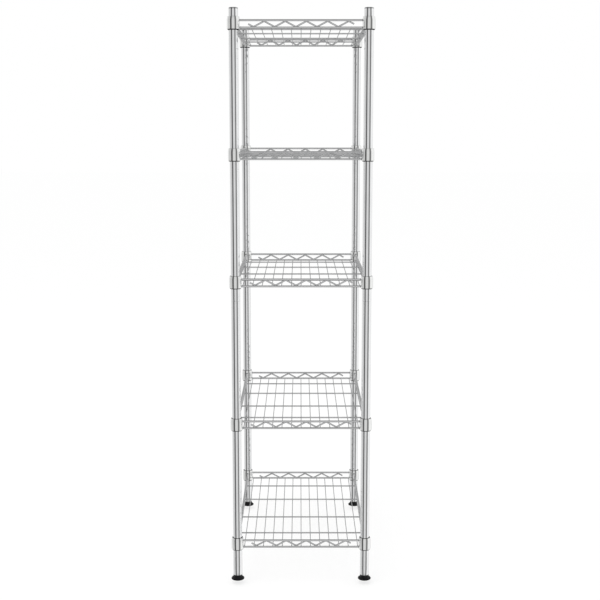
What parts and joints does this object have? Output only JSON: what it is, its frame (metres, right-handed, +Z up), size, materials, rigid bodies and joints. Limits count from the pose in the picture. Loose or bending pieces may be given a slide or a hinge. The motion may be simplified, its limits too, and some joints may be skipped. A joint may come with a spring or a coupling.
{
  "type": "wire shelving rack",
  "caption": "Free-standing chrome wire shelving rack: trussed wire shelves with corner collars wedged on split sleeves along grooved posts with screw levelling feet.",
  "frame": {"origin": "on the floor, under the centre of the rack", "axes": "+X along the short side, +Y along the long side, +Z up"},
  "size_m": [0.378, 0.628, 1.511],
  "materials": {
    "chrome_wire": "bright chrome plate",
    "chrome_post": "bright chrome plate",
    "chrome_collar": "bright chrome plate",
    "zinc_steel": "zinc plate",
    "sleeve_plastic": "moulded black plastic",
    "cap_plastic": "metallised grey plastic",
    "foot_plastic": "moulded black plastic"
  },
  "bodies": {
    "post_frame": {"shelf_1_front_sleeves": "sleeve_plastic", "shelf_1_back_sleeves": "sleeve_plastic", "shelf_2_front_sleeves": "sleeve_plastic", "shelf_2_back_sleeves": "sleeve_plastic", "shelf_3_front_sleeves": "sleeve_plastic", "shelf_3_back_sleeves": "sleeve_plastic", "shelf_4_front_sleeves": "sleeve_plastic", "shelf_4_back_sleeves": "sleeve_plastic", "shelf_5_front_sleeves": "sleeve_plastic", "shelf_5_back_sleeves": "sleeve_plastic", "post_1_lower_tube": "chrome_post", "post_1_upper_tube": "chrome_post", "post_1_end_cap": "cap_plastic", "post_1_foot_insert": "zinc_steel", "post_2_lower_tube": "chrome_post", "post_2_upper_tube": "chrome_post", "post_2_end_cap": "cap_plastic", "post_2_foot_insert": "zinc_steel", "post_3_lower_tube": "chrome_post", "post_3_upper_tube": "chrome_post", "post_3_end_cap": "cap_plastic", "post_3_foot_insert": "zinc_steel", "post_4_lower_tube": "chrome_post", "post_4_upper_tube": "chrome_post", "post_4_end_cap": "cap_plastic", "post_4_foot_insert": "zinc_steel", "post_joiners": "zinc_steel"},
    "shelf_1": {"shelf_1_rim_wires": "chrome_wire", "shelf_1_truss_wires": "chrome_wire", "shelf_1_deck_wires": "chrome_wire", "shelf_1_cross_bars": "chrome_wire", "shelf_1_corner_collars": "chrome_collar"},
    "shelf_2": {"shelf_2_rim_wires": "chrome_wire", "shelf_2_truss_wires": "chrome_wire", "shelf_2_deck_wires": "chrome_wire", "shelf_2_cross_bars": "chrome_wire", "shelf_2_corner_collars": "chrome_collar"},
    "shelf_3": {"shelf_3_rim_wires": "chrome_wire", "shelf_3_truss_wires": "chrome_wire", "shelf_3_deck_wires": "chrome_wire", "shelf_3_cross_bars": "chrome_wire", "shelf_3_corner_collars": "chrome_collar"},
    "shelf_4": {"shelf_4_rim_wires": "chrome_wire", "shelf_4_truss_wires": "chrome_wire", "shelf_4_deck_wires": "chrome_wire", "shelf_4_cross_bars": "chrome_wire", "shelf_4_corner_collars": "chrome_collar"},
    "shelf_5": {"shelf_5_rim_wires": "chrome_wire", "shelf_5_truss_wires": "chrome_wire", "shelf_5_deck_wires": "chrome_wire", "shelf_5_cross_bars": "chrome_wire", "shelf_5_corner_collars": "chrome_collar"},
    "stud_1": {"post_1_foot_stud": "zinc_steel"},
    "foot_1": {"post_1_foot_pad": "foot_plastic"},
    "stud_2": {"post_2_foot_stud": "zinc_steel"},
    "foot_2": {"post_2_foot_pad": "foot_plastic"},
    "stud_3": {"post_3_foot_stud": "zinc_steel"},
    "foot_3": {"post_3_foot_pad": "foot_plastic"},
    "stud_4": {"post_4_foot_stud": "zinc_steel"},
    "foot_4": {"post_4_foot_pad": "foot_plastic"}
  },
  "joints": [
    {"name": "shelf_1_lift", "type": "slide", "parent": "post_frame", "child": "shelf_1", "axis": [0, 0, 1], "range_m": [0, 0.285]},
    {"name": "shelf_2_lift", "type": "slide", "parent": "post_frame", "child": "shelf_2", "axis": [0, 0, 1], "range_m": [0, 0.335]},
    {"name": "shelf_3_lift", "type": "slide", "parent": "post_frame", "child": "shelf_3", "axis": [0, 0, 1], "range_m": [0, 0.285]},
    {"name": "shelf_4_lift", "type": "slide", "parent": "post_frame", "child": "shelf_4", "axis": [0, 0, 1], "range_m": [0, 0.285]},
    {"name": "shelf_5_lift", "type": "slide", "parent": "post_frame", "child": "shelf_5", "axis": [0, 0, 1], "range_m": [0, 0.08]},
    {"name": "foot_1_turn", "type": "hinge", "parent": "stud_1", "child": "foot_1", "pos_m": [-0.1715, -0.2965, 0.007], "axis": [0, 0, -1], "range_deg": [0, 2882]},
    {"name": "foot_1_drop", "type": "slide", "parent": "post_frame", "child": "stud_1", "axis": [0, 0, -1], "range_m": [0, 0.012]},
    {"name": "foot_2_turn", "type": "hinge", "parent": "stud_2", "child": "foot_2", "pos_m": [0.1715, -0.2965, 0.007], "axis": [0, 0, -1], "range_deg": [0, 2882]},
    {"name": "foot_2_drop", "type": "slide", "parent": "post_frame", "child": "stud_2", "axis": [0, 0, -1], "range_m": [0, 0.012]},
    {"name": "foot_3_turn", "type": "hinge", "parent": "stud_3", "child": "foot_3", "pos_m": [0.1715, 0.2965, 0.007], "axis": [0, 0, -1], "range_deg": [0, 2882]},
    {"name": "foot_3_drop", "type": "slide", "parent": "post_frame", "child": "stud_3", "axis": [0, 0, -1], "range_m": [0, 0.012]},
    {"name": "foot_4_turn", "type": "hinge", "parent": "stud_4", "child": "foot_4", "pos_m": [-0.1715, 0.2965, 0.007], "axis": [0, 0, -1], "range_deg": [0, 2882]},
    {"name": "foot_4_drop", "type": "slide", "parent": "post_frame", "child": "stud_4", "axis": [0, 0, -1], "range_m": [0, 0.012]}
  ],
  "couplings": [
    {"joint": "foot_1_turn", "follows": "foot_1_drop", "rad_per_m": 4188.8},
    {"joint": "foot_2_turn", "follows": "foot_2_drop", "rad_per_m": 4188.8},
    {"joint": "foot_3_turn", "follows": "foot_3_drop", "rad_per_m": 4188.8},
    {"joint": "foot_4_turn", "follows": "foot_4_drop", "rad_per_m": 4188.8}
  ]
}
